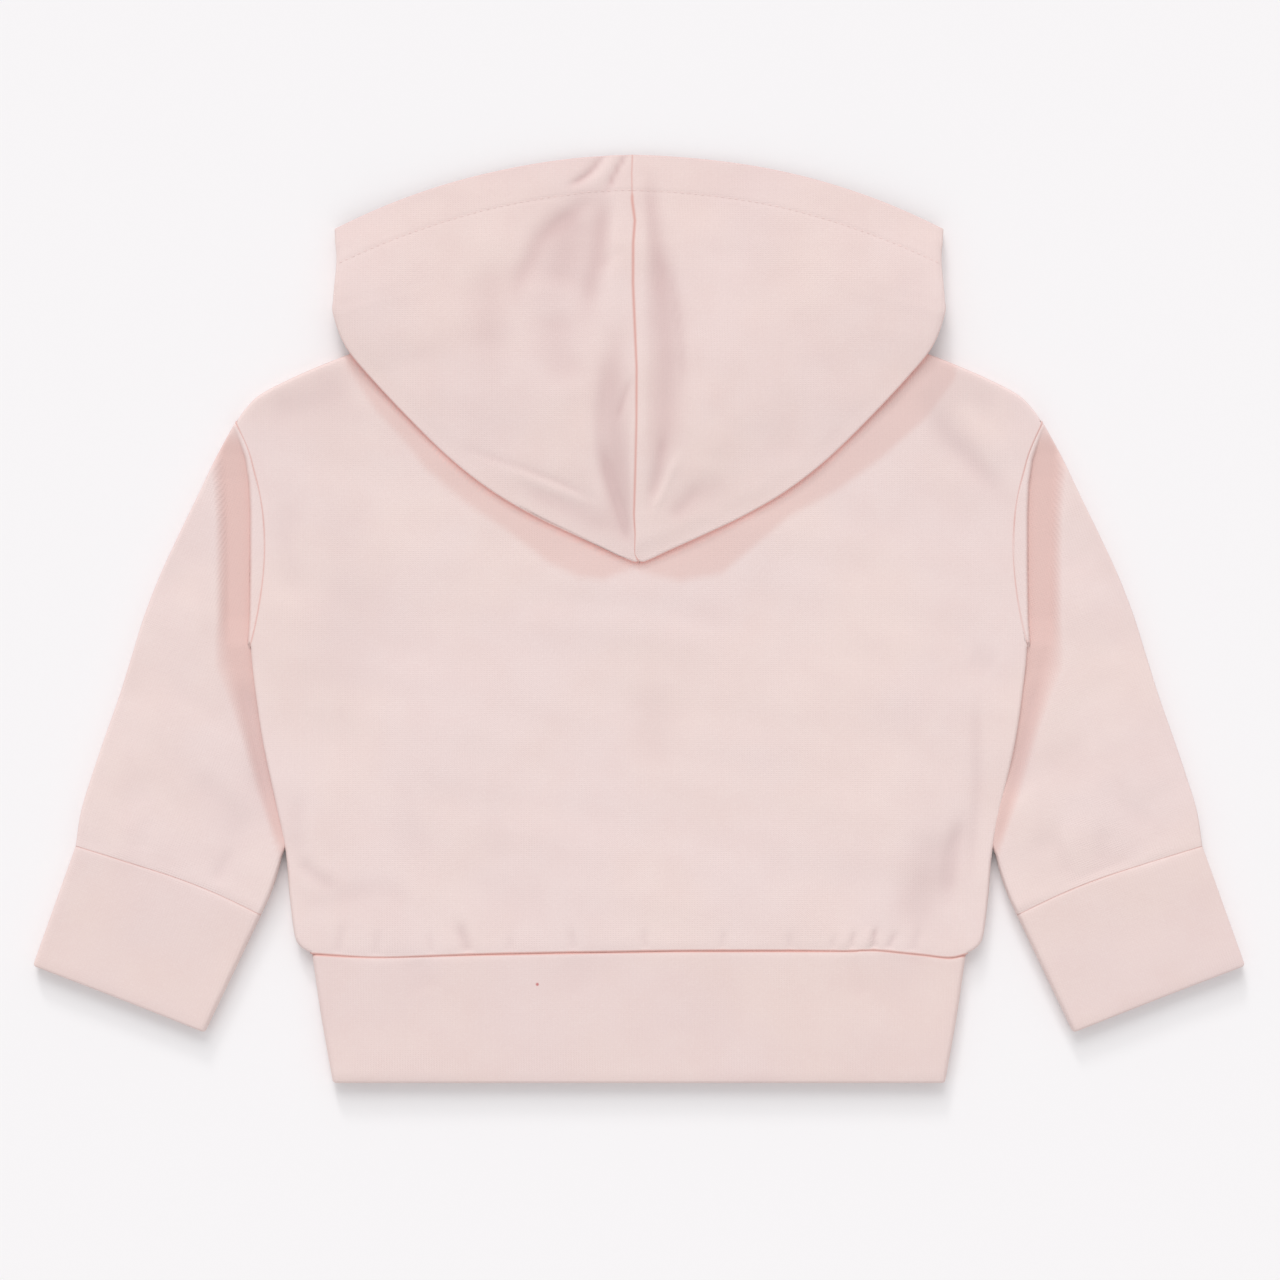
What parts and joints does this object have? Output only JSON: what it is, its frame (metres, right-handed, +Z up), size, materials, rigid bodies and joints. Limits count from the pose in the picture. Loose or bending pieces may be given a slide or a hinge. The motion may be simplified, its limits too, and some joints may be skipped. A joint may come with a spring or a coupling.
{
  "type": "baby cardigan",
  "caption": "Pale pink hooded baby cardigan in soft jersey with deep cuffs and waistband, laid flat face down with the hood on its back.",
  "frame": {"origin": "middle of the garment's length and width, on the surface it lies on", "axes": "+X towards the wearer's right sleeve, +Y from the waistband towards the hood, +Z up out of the garment's back"},
  "size_m": [0.4848, 0.3714, 0.0135],
  "materials": {
    "jersey": "soft matte sweatshirt jersey",
    "band": "soft matte doubled jersey"
  },
  "bodies": {
    "root": {"back": "jersey", "front_left": "jersey", "front_right": "jersey", "sleeve_left": "jersey", "sleeve_right": "jersey", "cuff_left": "band", "cuff_right": "band", "waistband": "band", "hood_left": "jersey", "hood_right": "jersey"}
  },
  "joints": []
}
